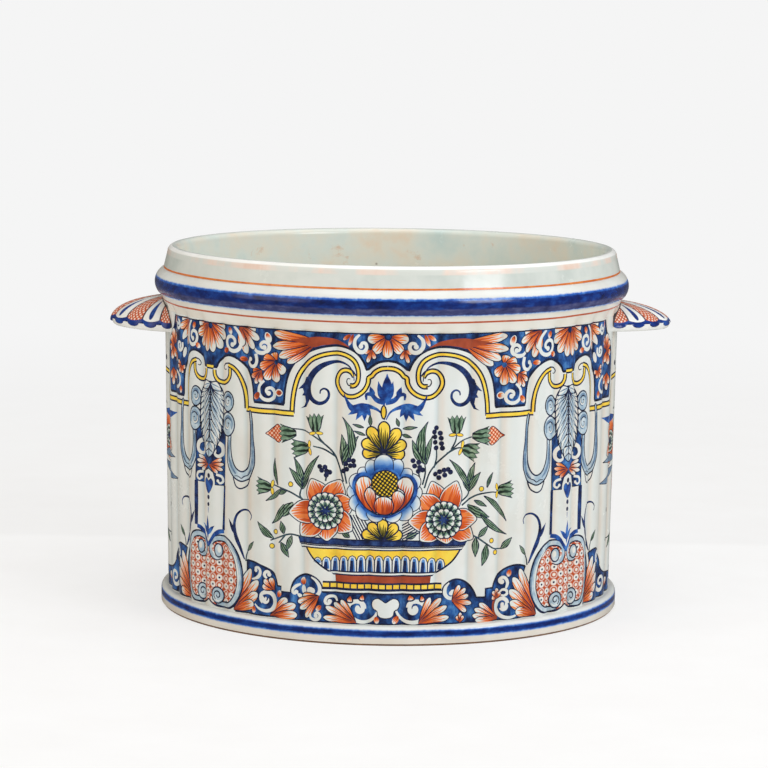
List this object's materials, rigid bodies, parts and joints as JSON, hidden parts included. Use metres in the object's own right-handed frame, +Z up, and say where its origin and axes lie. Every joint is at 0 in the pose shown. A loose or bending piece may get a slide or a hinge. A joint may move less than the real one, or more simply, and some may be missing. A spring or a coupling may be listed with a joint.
{
  "type": "cachepot",
  "caption": "Round tin-glazed earthenware cachepot with a reeded wall, a blue roll under the rim and scallop-shell lugs, painted with a traditional lambrequin border and flower basket.",
  "frame": {"origin": "centre of the foot, on the plane that the pot stands on", "axes": "+Z up along the pot's axis, +X through the right-hand shell lug, -Y to the front of the pot, where the painted basket faces"},
  "size_m": [0.3592, 0.3, 0.227],
  "materials": {
    "painted_glaze": "white tin glaze with painted ornament in cobalt blue, iron red, yellow and green",
    "glazed_body": "white tin glaze, glossy, with small pits and stains",
    "blue_glaze": "white tin glaze with a broad cobalt blue band",
    "biscuit": "bare fired clay, matt"
  },
  "bodies": {
    "root": {"foot_ring": "biscuit", "foot_band": "glazed_body", "floor_slab": "glazed_body", "reeded_wall": "painted_glaze", "cove_band": "glazed_body", "roll_moulding": "blue_glaze", "rim_collar": "glazed_body", "shell_handle_left": "painted_glaze", "shell_handle_right": "painted_glaze"}
  },
  "joints": []
}
